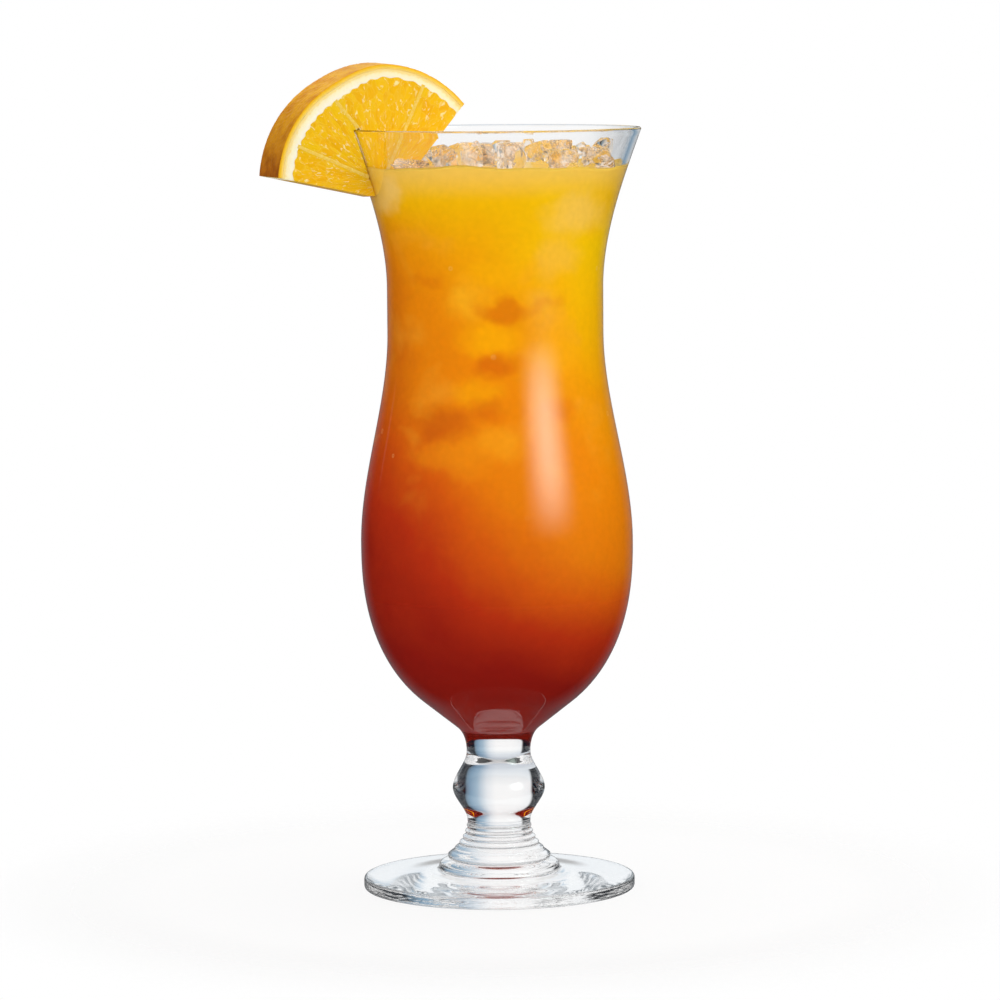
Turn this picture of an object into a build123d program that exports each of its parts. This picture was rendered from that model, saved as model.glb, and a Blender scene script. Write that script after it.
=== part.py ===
"""Hurricane glass holding a layered drink, crushed ice and an orange slice. Millimetres, Z up."""
import math
import os

from build123d import *

# Glass, from the foot up: each rise is measured from the level named before it
foot_diameter = 73.6
foot_edge_thickness = 3.7
foot_edge_bevel = 2.2
foot_edge_middle = 1.4
foot_edge_undercut = 1.2
kick_diameter = 36.8
kick_depth = 3.0
foot_height = 7.9
collar_diameter = 29.0
collar_lip = 1.2
collar_rise = 10.7
lower_neck_diameter = 17.1
knop_rise = 8.7
knop_diameter = 25.4
neck_rise = 9.7
neck_diameter = 17.9
cup_rise = 7.0
cup_join_rise = 7.0
cup_fullness = 2.4
floor_rise = 1.6
belly_rise = 50.5
belly_diameter = 73.5
waist_rise = 56.5
waist_diameter = 58.2
waist_length = 12.0
flare_rise = 43.0
rim_diameter = 79.0
side_wall = 1.9
rim_wall = 1.6
lip_round = 0.55

# Drink
drink_drop = 10.5
syrup_depth = 34.4
pocket_gap = 0.4

# Crushed ice
ice_sides = 7
ice_ragged = 0.16
ice_top_share = 0.6
ice_bottom_share = 0.5
ice_collar = 0.6
ice_wall_gap = 0.5
small_ice = 4.4
medium_ice = 5.8
large_ice = 7.2
ice_draft = 6.6
low_rise = 3.2
middle_rise = 5.4
high_rise = 7.4
near_distance = 9.7
far_distance = 14.6
sunk_half_height = 6.0
shallow_depth = 26.5
middle_depth = 37.5
deep_depth = 53.5

# Orange slice: angles are in the plane of the slice, from its inner side
orange_diameter = 64.0
slice_thickness = 12.0
zest_thickness = 1.3
pith_thickness = 2.9
core_diameter = 4.4
membrane_thickness = 0.7
slice_turn = 23.5
slice_bearing = 8.2
slice_inset = 2.2
slice_drop = 14.3
apex_across = 2.2
apex_down = 4.6
left_cut_angle = 171.0
right_cut_angle = 49.5
membrane_1_angle = 157.0
membrane_2_angle = 131.0
membrane_3_angle = 65.0
slit_clearance = 0.6

# Levels that follow from the rises
lower_neck_height = foot_height + collar_rise
knop_height = lower_neck_height + knop_rise
neck_height = knop_height + neck_rise
cup_height = neck_height + cup_rise
floor_height = cup_height + floor_rise
belly_height = cup_height + belly_rise
waist_height = belly_height + waist_rise
flare_height = waist_height + waist_length
overall_height = flare_height + flare_rise
lip_height = overall_height - lip_round
drink_level = overall_height - drink_drop
syrup_level = floor_height + syrup_depth

os.makedirs("parts", exist_ok=True)


def keep(part, name):
    """Label one finished piece and write it out."""
    part.label = name
    export_step(part, "parts/" + name + ".step")


# Bowl outline: a full cup, an S-curve to the waist and a flare to the rim
def cup_radius(z):
    """Radius of the outside of the cup below the belly, a full oval."""
    share = (belly_height - z) / belly_rise
    return belly_diameter / 2 * math.sqrt(1 - share**cup_fullness)


def upper_radius(z, inset, rim_inset):
    """Radius of the bowl from the belly to the rim, drawn in by inset (rim_inset at the lip)."""
    belly_radius = belly_diameter / 2 - inset
    waist_radius = waist_diameter / 2 - inset
    rim_radius = rim_diameter / 2 - rim_inset
    if z <= waist_height:
        share = (z - belly_height) / (waist_height - belly_height)
        return belly_radius + (waist_radius - belly_radius) * share**2 * (3 - 2 * share)
    if z <= flare_height:
        return waist_radius
    share = (z - flare_height) / (lip_height - flare_height)
    return waist_radius + (rim_radius - waist_radius) * share**2 * (1.5 - 0.5 * share)


def wall_line(inset, rim_inset):
    """Draw the wall from the belly to just under the lip: S-curve, straight waist, flare."""
    heights = [belly_height + waist_rise * step / 4 for step in range(5)]
    points = [(upper_radius(z, inset, rim_inset), z) for z in heights]
    curve = Spline(*points, tangents=[(0, 1), (0, 1)])
    waist = Line(curve @ 1, (waist_diameter / 2 - inset, flare_height))
    rise = lip_height - flare_height
    heights = [flare_height + rise * step / 4 for step in range(5)]
    points = [(upper_radius(z, inset, rim_inset), z) for z in heights]
    spread = 1.5 * (points[-1][0] - points[0][0])
    flare = Spline(*points, tangents=[(0, 1), (spread, rise)])
    return [curve, waist, flare]


def inner_cup_points():
    """Points up the inside of the cup, from the axis on the floor to the belly."""
    depth = belly_height - floor_height
    points = []
    for degrees in (0, 15, 30, 45, 60, 75, 90):
        across = math.sin(math.radians(degrees)) * (belly_diameter / 2 - side_wall)
        drop = depth * math.cos(math.radians(degrees)) ** (2 / cup_fullness)
        points.append((across, belly_height - drop))
    return points


def outer_cup_points():
    """Points up the outside of the cup, from where the neck runs into it to the belly."""
    join_height = cup_height + cup_join_rise
    heights = [join_height + (belly_height - join_height) * step / 5 for step in range(6)]
    return [(cup_radius(z), z) for z in heights]


neck_edge = (neck_diameter / 2, neck_height)

with BuildPart() as bowl:
    with BuildSketch(Plane.XZ):
        with BuildLine():
            Spline(neck_edge, *outer_cup_points(), tangents=[(0, 1), (0, 1)])
            cup = Spline(*inner_cup_points(), tangents=[(1, 0), (0, 1)])
            add(wall_line(0, 0))
            add(wall_line(side_wall, rim_wall))
            outer_lip = Bezier(
                (rim_diameter / 2, lip_height),
                (rim_diameter / 2, overall_height),
                (rim_diameter / 2 - lip_round, overall_height),
            )
            inner_lip = Bezier(
                (rim_diameter / 2 - rim_wall, lip_height),
                (rim_diameter / 2 - rim_wall, overall_height),
                (rim_diameter / 2 - rim_wall + lip_round, overall_height),
            )
            Line(outer_lip @ 1, inner_lip @ 1)
            Polyline(cup @ 0, (0, neck_height), neck_edge)
        make_face()
    revolve(axis=Axis.Z)
keep(bowl.part, "bowl")

# Stem: neck, knop, lower neck and the collar that stands on the foot
with BuildPart() as stem:
    with BuildSketch(Plane.XZ):
        with BuildLine():
            upper = Spline(
                (neck_diameter / 2, neck_height),
                (knop_diameter / 2, knop_height),
                tangents=[(0, -1), (0, -1)],
            )
            middle = Spline(
                upper @ 1,
                (lower_neck_diameter / 2, lower_neck_height),
                tangents=[(0, -1), (0, -1)],
            )
            flare = Spline(
                middle @ 1,
                (collar_diameter / 2, foot_height + collar_lip),
                tangents=[(0, -1), (0.8, -1)],
            )
            Polyline(
                flare @ 1,
                (collar_diameter / 2, foot_height),
                (0, foot_height),
                (0, neck_height),
                upper @ 0,
            )
        make_face()
    revolve(axis=Axis.Z)
keep(stem.part, "stem")

# Foot: a disc that slopes to a rounded edge, with a domed kick underneath
kick_sphere = ((kick_diameter / 2) ** 2 + kick_depth**2) / (2 * kick_depth)
kick_middle = math.sqrt(kick_sphere**2 - (kick_diameter / 4) ** 2) - kick_sphere + kick_depth
foot_run = foot_diameter / 2 - foot_edge_bevel - collar_diameter / 2
foot_slope = (foot_height - foot_edge_thickness) / foot_run
with BuildPart() as foot:
    with BuildSketch(Plane.XZ):
        with BuildLine():
            top = Line(
                (collar_diameter / 2, foot_height),
                (foot_diameter / 2 - foot_edge_bevel, foot_edge_thickness),
            )
            edge = Bezier(
                top @ 1,
                (foot_diameter / 2, foot_edge_thickness - foot_edge_bevel * foot_slope),
                (foot_diameter / 2, foot_edge_middle),
            )
            heel = Bezier(
                edge @ 1,
                (foot_diameter / 2, 0),
                (foot_diameter / 2 - foot_edge_undercut, 0),
            )
            ring = Line(heel @ 1, (kick_diameter / 2, 0))
            dome = ThreePointArc(ring @ 1, (kick_diameter / 4, kick_middle), (0, kick_depth))
            Polyline(dome @ 1, (0, foot_height), top @ 0)
        make_face()
    revolve(axis=Axis.Z)
keep(foot.part, "foot")


# Crushed ice: ragged many-sided lumps, widest at the water line
def ice_outline(across, ahead, radius, share, grow, seed):
    """Corners of one lump's ragged outline, at a share of its full size and grown by a gap."""
    corners = []
    for corner in range(ice_sides):
        angle = math.radians(seed * 31 + corner * 360 / ice_sides)
        reach = radius * (1 - ice_ragged * (0.5 + 0.5 * math.sin(2.4 * corner * corner + seed)))
        reach = reach * share + grow
        corners.append((across + reach * math.cos(angle), ahead + reach * math.sin(angle)))
    return corners


def ice_section(height, across, ahead, radius, share, grow, seed):
    """Draw one level outline of a lump as a face."""
    with BuildSketch(Plane.XY.offset(height)) as section:
        with BuildLine():
            Polyline(*ice_outline(across, ahead, radius, share, grow, seed), close=True)
        make_face()
    return section.sketch


def ice_lump(across, ahead, radius, low, middle, high, seed):
    """Build one lump between three level outlines."""
    bottom = ice_section(low, across, ahead, radius, ice_bottom_share, 0, seed)
    widest = ice_section(middle, across, ahead, radius, 1, 0, seed)
    top = ice_section(high, across, ahead, radius, ice_top_share, 0, seed)
    with BuildPart() as lump:
        loft([bottom, widest], ruled=True)
        loft([widest, top], ruled=True)
    return lump.part


def at_bearing(distance, bearing):
    """Place at a distance from the axis, at a bearing in degrees from +X."""
    return (distance * math.cos(math.radians(bearing)), distance * math.sin(math.radians(bearing)))


# Floating lumps against the wall: bearing, radius and rise above the level
wall_floats = [
    (220, medium_ice, low_rise),
    (250, large_ice, high_rise),
    (279, small_ice, high_rise),
    (307, medium_ice, middle_rise),
    (338, medium_ice, middle_rise),
    (12, medium_ice, high_rise),
    (51, large_ice, middle_rise),
    (94, large_ice, middle_rise),
    (136, medium_ice, middle_rise),
]
# Floating lumps in the middle: bearing, distance from the axis, radius and rise above the level
middle_floats = [
    (344, far_distance, large_ice, high_rise),
    (255, near_distance, large_ice, high_rise),
    (84, near_distance, large_ice, middle_rise),
]
# Sunken lumps: bearing, distance from the axis, radius and depth under the level
sunk_lumps = [
    (246, near_distance, large_ice, middle_depth),
    (333, far_distance, medium_ice, shallow_depth),
    (63, near_distance, large_ice, deep_depth),
]

ice_low = drink_level - ice_draft
ice_middle = drink_level + ice_collar
floats = []
for bearing, radius, rise in wall_floats:
    low_distance = upper_radius(ice_low, side_wall, rim_wall) - ice_bottom_share * radius - ice_wall_gap
    middle_distance = upper_radius(ice_middle, side_wall, rim_wall) - radius - ice_wall_gap
    floats.append((*at_bearing(min(low_distance, middle_distance), bearing), radius, drink_level + rise))
for bearing, distance, radius, rise in middle_floats:
    floats.append((*at_bearing(distance, bearing), radius, drink_level + rise))

for number, (across, ahead, radius, high) in enumerate(floats, 1):
    lump = ice_lump(across, ahead, radius, ice_low, ice_middle, high, number)
    keep(lump, "ice_float_" + str(number))
sunk = []
for number, (bearing, distance, radius, depth) in enumerate(sunk_lumps, 1):
    across, ahead = at_bearing(distance, bearing)
    middle = drink_level - depth
    low, high = middle - sunk_half_height, middle + sunk_half_height
    sunk.append(ice_lump(across, ahead, radius, low, middle, high, number))
    keep(sunk[-1], "ice_sunk_" + str(number))

# Orange slice: a flat piece in an upright plane that crosses the rim
turn = math.radians(slice_turn)
bearing = math.radians(slice_bearing)
core_height = overall_height - slice_drop
core_distance = upper_radius(core_height, 0, 0) - slice_inset
core_place = (-core_distance * math.cos(bearing), -core_distance * math.sin(bearing), core_height)
slice_plane = Plane(
    origin=core_place,
    x_dir=(math.cos(turn), math.sin(turn), 0),
    z_dir=(math.sin(turn), -math.cos(turn), 0),
)
slit_depth = slice_drop + apex_down
slit_foot = upper_radius(overall_height - slit_depth, 0, 0)
lean = math.atan((rim_diameter / 2 - slit_foot) / slit_depth / math.cos(turn - bearing))
lift = Vector(-math.sin(lean) * math.cos(turn), -math.sin(lean) * math.sin(turn), math.cos(lean))
zest_radius = orange_diameter / 2
pith_radius = zest_radius - zest_thickness
pulp_radius = pith_radius - pith_thickness
far = orange_diameter
apex = (apex_across, -apex_down)


def along(start, angle, reach, aside=0):
    """Point at a reach from start along an angle, moved aside to its left."""
    way = math.radians(angle)
    across = start[0] + reach * math.cos(way) - aside * math.sin(way)
    return (across, start[1] + reach * math.sin(way) + aside * math.cos(way))


def wedge(tip):
    """The piece cut from the whole round slice, between the two knife cuts that meet at tip."""
    return [tip, along(tip, right_cut_angle, far), (0, 2 * far), along(tip, left_cut_angle, far)]


def tissue(outer, inner, outline):
    """Draw the part of a ring between two radii that lies inside an outline and the cut piece."""
    with BuildSketch(slice_plane) as section:
        Circle(outer)
        if inner > 0:
            Circle(inner, mode=Mode.SUBTRACT)
        with BuildLine():
            Polyline(*wedge(apex), close=True)
        make_face(mode=Mode.INTERSECT)
        with BuildLine():
            Polyline(*outline, close=True)
        make_face(mode=Mode.INTERSECT)
    return section.sketch


def pulp_section(outline):
    """Draw what lies between the core and the pith inside an outline."""
    return tissue(pulp_radius, core_diameter / 2, outline)


# The slit follows the wall along the way the slice lifts, so the slice slides straight off
slit_length = 2 * slit_depth
with BuildPart() as outer_sweep:
    with BuildSketch(Plane.XY.offset(overall_height)):
        Circle(rim_diameter / 2 + slit_clearance)
    extrude(amount=slit_length, dir=-lift)
with BuildPart() as inner_sweep:
    with BuildSketch(Plane.XY.offset(overall_height)):
        Circle(rim_diameter)
    extrude(amount=-slit_depth)
    with BuildSketch(Plane.XY.offset(overall_height)):
        Circle(rim_diameter / 2 - rim_wall - slit_clearance)
    extrude(amount=slit_length, dir=-lift, mode=Mode.SUBTRACT)

# Where the middle of the lip crosses the slice, seen in the slice plane
lip_radius = rim_diameter / 2 - rim_wall / 2
toward = core_place[0] * math.cos(turn) + core_place[1] * math.sin(turn)
lip_across = -toward - math.sqrt(toward**2 - core_distance**2 + lip_radius**2)
lip_point = (lip_across, slice_drop)
half_wall = membrane_thickness / 2
core = (0, 0)
whole = [(-far, -far), (far, -far), (far, far), (-far, far)]

with BuildPart() as slice_zest:
    extrude(tissue(zest_radius, pith_radius, whole), amount=slice_thickness / 2, both=True)
keep(slice_zest.part, "slice_zest")

with BuildPart() as slice_pith:
    extrude(tissue(pith_radius, pulp_radius, whole), amount=slice_thickness / 2, both=True)
keep(slice_pith.part, "slice_pith")

with BuildPart() as slice_core:
    extrude(tissue(core_diameter / 2, 0, whole), amount=slice_thickness / 2, both=True)
    add(inner_sweep.part, mode=Mode.SUBTRACT)
keep(slice_core.part, "slice_core")


def membrane(start, angle):
    """Outline of one thin wall between two segments."""
    return [
        along(start, angle, 0, half_wall),
        along(start, angle, 0, -half_wall),
        along(start, angle, far, -half_wall),
        along(start, angle, far, half_wall),
    ]


with BuildPart() as slice_membrane_1:
    extrude(pulp_section(membrane(core, membrane_1_angle)), amount=slice_thickness / 2, both=True)
    add(outer_sweep.part, mode=Mode.SUBTRACT)
keep(slice_membrane_1.part, "slice_membrane_1")

with BuildPart() as slice_membrane_2:
    extrude(pulp_section(membrane(lip_point, membrane_2_angle)), amount=slice_thickness / 2, both=True)
    add(outer_sweep.part, mode=Mode.SUBTRACT)
keep(slice_membrane_2.part, "slice_membrane_2")

with BuildPart() as slice_membrane_3:
    extrude(pulp_section(membrane(core, membrane_3_angle)), amount=slice_thickness / 2, both=True)
    add(inner_sweep.part, mode=Mode.SUBTRACT)
keep(slice_membrane_3.part, "slice_membrane_3")

segment_1 = [
    along(core, membrane_1_angle, 0, half_wall),
    along(core, membrane_1_angle, far, half_wall),
    along(apex, left_cut_angle, far),
    apex,
]
segment_2 = [
    along(core, membrane_1_angle, 0, -half_wall),
    along(core, membrane_1_angle, far, -half_wall),
    along(lip_point, membrane_2_angle, far, half_wall),
    along(lip_point, membrane_2_angle, 0, half_wall),
]
segment_3 = [
    along(lip_point, membrane_2_angle, 0, -half_wall),
    along(lip_point, membrane_2_angle, far, -half_wall),
    along(core, membrane_3_angle, far, half_wall),
    along(core, membrane_3_angle, 0, half_wall),
    (lip_across, 0),
]
segment_4 = [
    along(core, membrane_3_angle, 0, -half_wall),
    along(core, membrane_3_angle, far, -half_wall),
    along(apex, right_cut_angle, far),
    apex,
    along(apex, left_cut_angle, -lip_across + apex_across),
    (lip_across, 0),
]

with BuildPart() as slice_segment_1:
    extrude(pulp_section(segment_1), amount=slice_thickness / 2, both=True)
    add(outer_sweep.part, mode=Mode.SUBTRACT)
keep(slice_segment_1.part, "slice_segment_1")

with BuildPart() as slice_segment_2:
    extrude(pulp_section(segment_2), amount=slice_thickness / 2, both=True)
    add(outer_sweep.part, mode=Mode.SUBTRACT)
keep(slice_segment_2.part, "slice_segment_2")

with BuildPart() as slice_segment_3:
    extrude(pulp_section(segment_3), amount=slice_thickness / 2, both=True)
    add(inner_sweep.part, mode=Mode.SUBTRACT)
keep(slice_segment_3.part, "slice_segment_3")

with BuildPart() as slice_segment_4:
    extrude(pulp_section(segment_4), amount=slice_thickness / 2, both=True)
    add(inner_sweep.part, mode=Mode.SUBTRACT)
keep(slice_segment_4.part, "slice_segment_4")

# Drink: the inside of the bowl up to the level, with room for the ice and the slice
with BuildPart() as drink_room:
    with BuildSketch(Plane.XZ):
        with BuildLine():
            cup = Spline(*inner_cup_points(), tangents=[(1, 0), (0, 1)])
            add(wall_line(side_wall, rim_wall))
            Polyline((rim_diameter / 2 - rim_wall, lip_height), (0, lip_height), cup @ 0)
        make_face()
    revolve(axis=Axis.Z)

with BuildPart() as syrup_layer:
    add(drink_room.part)
    split(bisect_by=Plane.XY.offset(syrup_level), keep=Keep.BOTTOM)
keep(syrup_layer.part, "syrup_layer")

with BuildPart() as juice_layer:
    add(drink_room.part)
    split(bisect_by=Plane.XY.offset(syrup_level), keep=Keep.TOP)
    split(bisect_by=Plane.XY.offset(drink_level), keep=Keep.BOTTOM)
    pocket_low = ice_low - pocket_gap
    for number, (across, ahead, radius, high) in enumerate(floats, 1):
        bottom = ice_section(pocket_low, across, ahead, radius, ice_bottom_share, pocket_gap, number)
        widest = ice_section(ice_middle, across, ahead, radius, 1, pocket_gap, number)
        loft([bottom, widest], ruled=True, mode=Mode.SUBTRACT)
    for lump in sunk:
        add(lump, mode=Mode.SUBTRACT)
    half_spread = math.radians(left_cut_angle - right_cut_angle) / 2
    dip = pocket_gap / math.sin(half_spread)
    with BuildSketch(slice_plane):
        with BuildLine():
            Polyline(*wedge(along(apex, (left_cut_angle + right_cut_angle) / 2, -dip)), close=True)
        make_face()
    extrude(amount=slice_thickness / 2 + pocket_gap, both=True, mode=Mode.SUBTRACT)
keep(juice_layer.part, "juice_layer")
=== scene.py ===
import math
from functools import partial

import bpy
import numpy as np
from mathutils import Matrix, Vector


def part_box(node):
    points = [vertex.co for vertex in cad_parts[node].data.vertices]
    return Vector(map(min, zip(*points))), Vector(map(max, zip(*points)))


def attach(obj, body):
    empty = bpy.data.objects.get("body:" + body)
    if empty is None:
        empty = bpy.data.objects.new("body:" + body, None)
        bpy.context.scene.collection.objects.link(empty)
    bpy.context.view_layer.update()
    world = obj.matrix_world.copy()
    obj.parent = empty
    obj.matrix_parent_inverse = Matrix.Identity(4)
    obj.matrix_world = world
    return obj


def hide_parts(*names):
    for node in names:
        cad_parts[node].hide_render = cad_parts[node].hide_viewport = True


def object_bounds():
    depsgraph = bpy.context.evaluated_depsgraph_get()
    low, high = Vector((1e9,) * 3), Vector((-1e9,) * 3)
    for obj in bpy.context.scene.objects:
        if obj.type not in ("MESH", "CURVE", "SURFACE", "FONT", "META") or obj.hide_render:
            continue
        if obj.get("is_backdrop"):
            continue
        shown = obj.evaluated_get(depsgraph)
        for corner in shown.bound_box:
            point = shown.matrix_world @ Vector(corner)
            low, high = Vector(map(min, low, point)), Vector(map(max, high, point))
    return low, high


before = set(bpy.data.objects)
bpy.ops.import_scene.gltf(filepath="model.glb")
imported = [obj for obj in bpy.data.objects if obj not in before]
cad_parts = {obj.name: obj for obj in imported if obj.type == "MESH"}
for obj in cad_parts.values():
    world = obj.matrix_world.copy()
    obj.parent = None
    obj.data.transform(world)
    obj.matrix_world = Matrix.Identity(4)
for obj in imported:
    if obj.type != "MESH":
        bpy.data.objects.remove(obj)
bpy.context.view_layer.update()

scene = bpy.context.scene

# Foot, stem and bowl
# Clear soda-lime glass. The bowl is blown, the stem and foot are pressed, and all three are fused hot,
# so no seam shows between them. The tool that shaped the collar left fine rings round it.
# Sizes are in mm, and a pair in brackets is a distance from the axis and a height.
mm = 0.001
around = np.linspace(0, 2 * np.pi, 168, endpoint=False)
foot_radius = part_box("foot")[1].x / mm
foot_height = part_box("foot")[1].z / mm
neck_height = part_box("stem")[1].z / mm
rim_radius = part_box("bowl")[1].x / mm
overall_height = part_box("bowl")[1].z / mm
axis_gap = 0.3
kick_radius, kick_depth, kick_edge = 18.4, 3.4, 0.3
foot_edge_top = (35.9, 3.3)
foot_edge_middle = 2.3
foot_heel = 0.9
foot_hollow = 0.3
shoulder_foot = (18.0, 4.7)
shoulder = (16.4, 5.7)
shoulder_top = (13.2, 7.8)
collar_radius = 13.9
collar_foot, collar_height = foot_height + 0.5, foot_height + 1.2
collar_fall = 2.3
ring_height, ring_pitch = 0.3, 1.5
lower_neck = (8.55, 18.6)
knop, knop_fullness = (12.5, 27.3), 1.72
neck = (8.65, neck_height)
throat = (11.3, 44.0)
cup_join = 51.0
cup_fullness = 2.4
floor_height, floor_end = 45.6, 0.012
belly_radius, belly_height, belly_rise = 36.75, 94.5, 50.5
waist_radius, waist_height, flare_height = 29.1, 151.0, 163.0
lip_round = 0.55
lip_height = overall_height - lip_round
side_wall, rim_wall = 1.9, 1.6


def eased(share):
    """Rises from 0 to 1 and is level at both ends: three squares less two cubes of the share."""
    return share**2 * (3 - 2 * share)


def swell(low, high, count):
    """Outline of half the knop, from the neck to where it is widest: what is left of the swell falls with
    the square of one less a power of the way."""
    share = np.linspace(0, 1, count)
    radius = low[0] + (high[0] - low[0]) * (1 - (1 - share**knop_fullness) ** 2)
    return np.stack([radius, low[1] + (high[1] - low[1]) * share], axis=1)


def bend(start, corner, end, count):
    """Round stretch that leaves start towards the corner and comes into end from the corner."""
    share = np.linspace(0, 1, count)[:, None]
    start, corner, end = np.array(start), np.array(corner), np.array(end)
    return (1 - share) ** 2 * start + 2 * share * (1 - share) * corner + share**2 * end


def wall_radius(z, inset, lip_inset):
    """Radius of the bowl above the belly, drawn in by inset: an eased draw to the waist, a straight
    waist, and a flare that grows with the square of the height and ends at lip_inset inside the rim."""
    belly, waist, lip = belly_radius - inset, waist_radius - inset, rim_radius - lip_inset
    draw = np.clip((z - belly_height) / (waist_height - belly_height), 0, 1)
    share = np.clip((z - flare_height) / (lip_height - flare_height), 0, 1)
    return belly + (waist - belly) * eased(draw) + (lip - waist) * share**2 * (1.5 - 0.5 * share)


def cup_inside(count, grow):
    """Outline of the inside of the cup from the belly down to the axis, grown outward a little: across
    goes with the sine of an angle and down with a low power of its cosine, which fills the bottom out."""
    angle = np.linspace(np.pi / 2, floor_end, count)
    across = np.sin(angle) * (belly_radius - side_wall + grow)
    drop = (belly_height - floor_height + grow) * np.cos(angle) ** (2 / cup_fullness)
    return np.stack([across, belly_height - drop], axis=1)


def foot_outline():
    """Stretches of the foot, from the axis under it to the stem: a ball's cap for the kick, a flat ring to
    stand on, the rounded edge, a top with a slight hollow, the rounded shoulder and the collar, which
    falls with a power of the way up and carries rings that go with a sine."""
    kick_ball = (kick_radius**2 + kick_depth**2) / (2 * kick_depth)
    across = np.linspace(axis_gap, kick_radius, 14)
    dome = np.stack([across, np.sqrt(kick_ball**2 - across**2) - kick_ball + kick_depth], axis=1)
    ring = np.linspace((kick_radius + kick_edge, 0), (foot_radius - foot_heel, 0), 8)
    heel = bend((foot_radius - foot_heel, 0), (foot_radius, 0), (foot_radius, foot_heel), 7)
    side = np.linspace((foot_radius, foot_heel), (foot_radius, foot_edge_middle), 6)
    slope = (shoulder_foot[1] - foot_edge_top[1]) / (foot_edge_top[0] - shoulder_foot[0])
    corner = (foot_radius, foot_edge_top[1] - (foot_radius - foot_edge_top[0]) * slope)
    edge = bend((foot_radius, foot_edge_middle), corner, foot_edge_top, 11)
    top = np.linspace(foot_edge_top, shoulder_foot, 26)
    top[:, 1] -= foot_hollow * np.sin(np.linspace(0, np.pi, 26)) ** 2
    hollow_bend = bend(shoulder_foot, (shoulder[0], shoulder_foot[1]), shoulder, 9)
    round_bend = bend(shoulder, (shoulder[0], shoulder_top[1]), shoulder_top, 16)
    lip = bend(shoulder_top, (collar_radius, shoulder_top[1]), (collar_radius, collar_foot), 6)
    lip_side = np.linspace((collar_radius, collar_foot), (collar_radius, collar_height), 2)
    rise = np.linspace(0, 1, 64)
    fall = lower_neck[0] + (collar_radius - lower_neck[0]) * (1 - rise) ** collar_fall
    height = collar_height + (lower_neck[1] - collar_height) * rise
    fall += ring_height * np.sin(2 * np.pi * (height - collar_height) / ring_pitch) * np.sin(np.pi * rise)
    collar = np.stack([fall, height], axis=1)
    return [dome, ring, heel, side, edge, top, hollow_bend, round_bend, lip, lip_side, collar]


def glass_outline():
    """Outline of the whole glass, from the axis under the foot, up the outside and down the inside."""
    join_share = (belly_height - cup_join) / belly_rise
    join_radius = belly_radius * math.sqrt(1 - join_share**cup_fullness)
    steep = belly_radius**2 * cup_fullness * join_share ** (cup_fullness - 1) / (2 * belly_rise * join_radius)
    neck_corner = (neck[0], throat[1] - (throat[0] - neck[0]) / steep)
    neck_bend = bend(neck, neck_corner, throat, 24)
    under_cup = np.linspace(throat, (join_radius, cup_join), 14)
    height = np.linspace(cup_join, belly_height, 36)
    cup = belly_radius * np.sqrt(1 - ((belly_height - height) / belly_rise) ** cup_fullness)
    height_up = np.linspace(belly_height, lip_height, 84)
    outside = np.stack([wall_radius(height_up, 0, 0), height_up], axis=1)
    crown = rim_radius - lip_round
    outer_lip = bend((rim_radius, lip_height), (rim_radius, overall_height), (crown, overall_height), 7)
    inner = rim_radius - rim_wall
    inner_lip = bend((inner + lip_round, overall_height), (inner, overall_height), (inner, lip_height), 7)
    height_down = height_up[::-1]
    inside = np.stack([wall_radius(height_down, side_wall, rim_wall), height_down], axis=1)
    stretches = foot_outline()
    stretches += [swell(lower_neck, knop, 30), swell(neck, knop, 32)[::-1], neck_bend, under_cup]
    stretches += [np.stack([cup, height], axis=1), outside, outer_lip, inner_lip, inside, cup_inside(48, 0)]
    return np.concatenate(stretches[:1] + [stretch[1:] for stretch in stretches[1:]])


def turned(radius, height):
    """Turns an outline round the upright axis; either value may also change round the turn."""
    across, ahead, up = np.broadcast_arrays(radius * np.cos(around), radius * np.sin(around), height)
    return np.stack([across, ahead, up], axis=-1)


def skin(name, grids, material):
    """Closed surfaces through rings of points in mm, each grid being rings, points round and xyz:
    neighbours are joined by four-sided faces, and the end rings by fans to their middles."""
    points, faces, used = [], [], 0
    for grid in grids:
        rings, count = grid.shape[:2]
        place = used + np.arange(rings * count).reshape(rings, count)
        beside = np.roll(place, -1, axis=1)
        used += rings * count + 2
        quads = np.stack([place[:-1], beside[:-1], beside[1:], place[1:]], axis=-1).reshape(-1, 4)
        start = np.stack([beside[0], place[0], np.full(count, used - 2)], axis=-1)
        end = np.stack([place[-1], beside[-1], np.full(count, used - 1)], axis=-1)
        points += [grid.reshape(-1, 3), grid[[0, -1]].mean(axis=1)]
        faces += quads.tolist() + start.tolist() + end.tolist()
    mesh = bpy.data.meshes.new(name)
    mesh.from_pydata((np.concatenate(points) * mm).tolist(), [], faces)
    mesh.shade_smooth()
    mesh.materials.append(material)
    piece = bpy.data.objects.new(name, mesh)
    scene.collection.objects.link(piece)
    return piece


def linear(code):
    """sRGB hex colour as linear red, green and blue, with full cover."""
    parts = np.array([int(code[at : at + 2], 16) for at in (1, 3, 5)]) / 255
    values = np.where(parts <= 0.04045, parts / 12.92, ((parts + 0.055) / 1.055) ** 2.4)
    return (*values.tolist(), 1.0)


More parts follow.
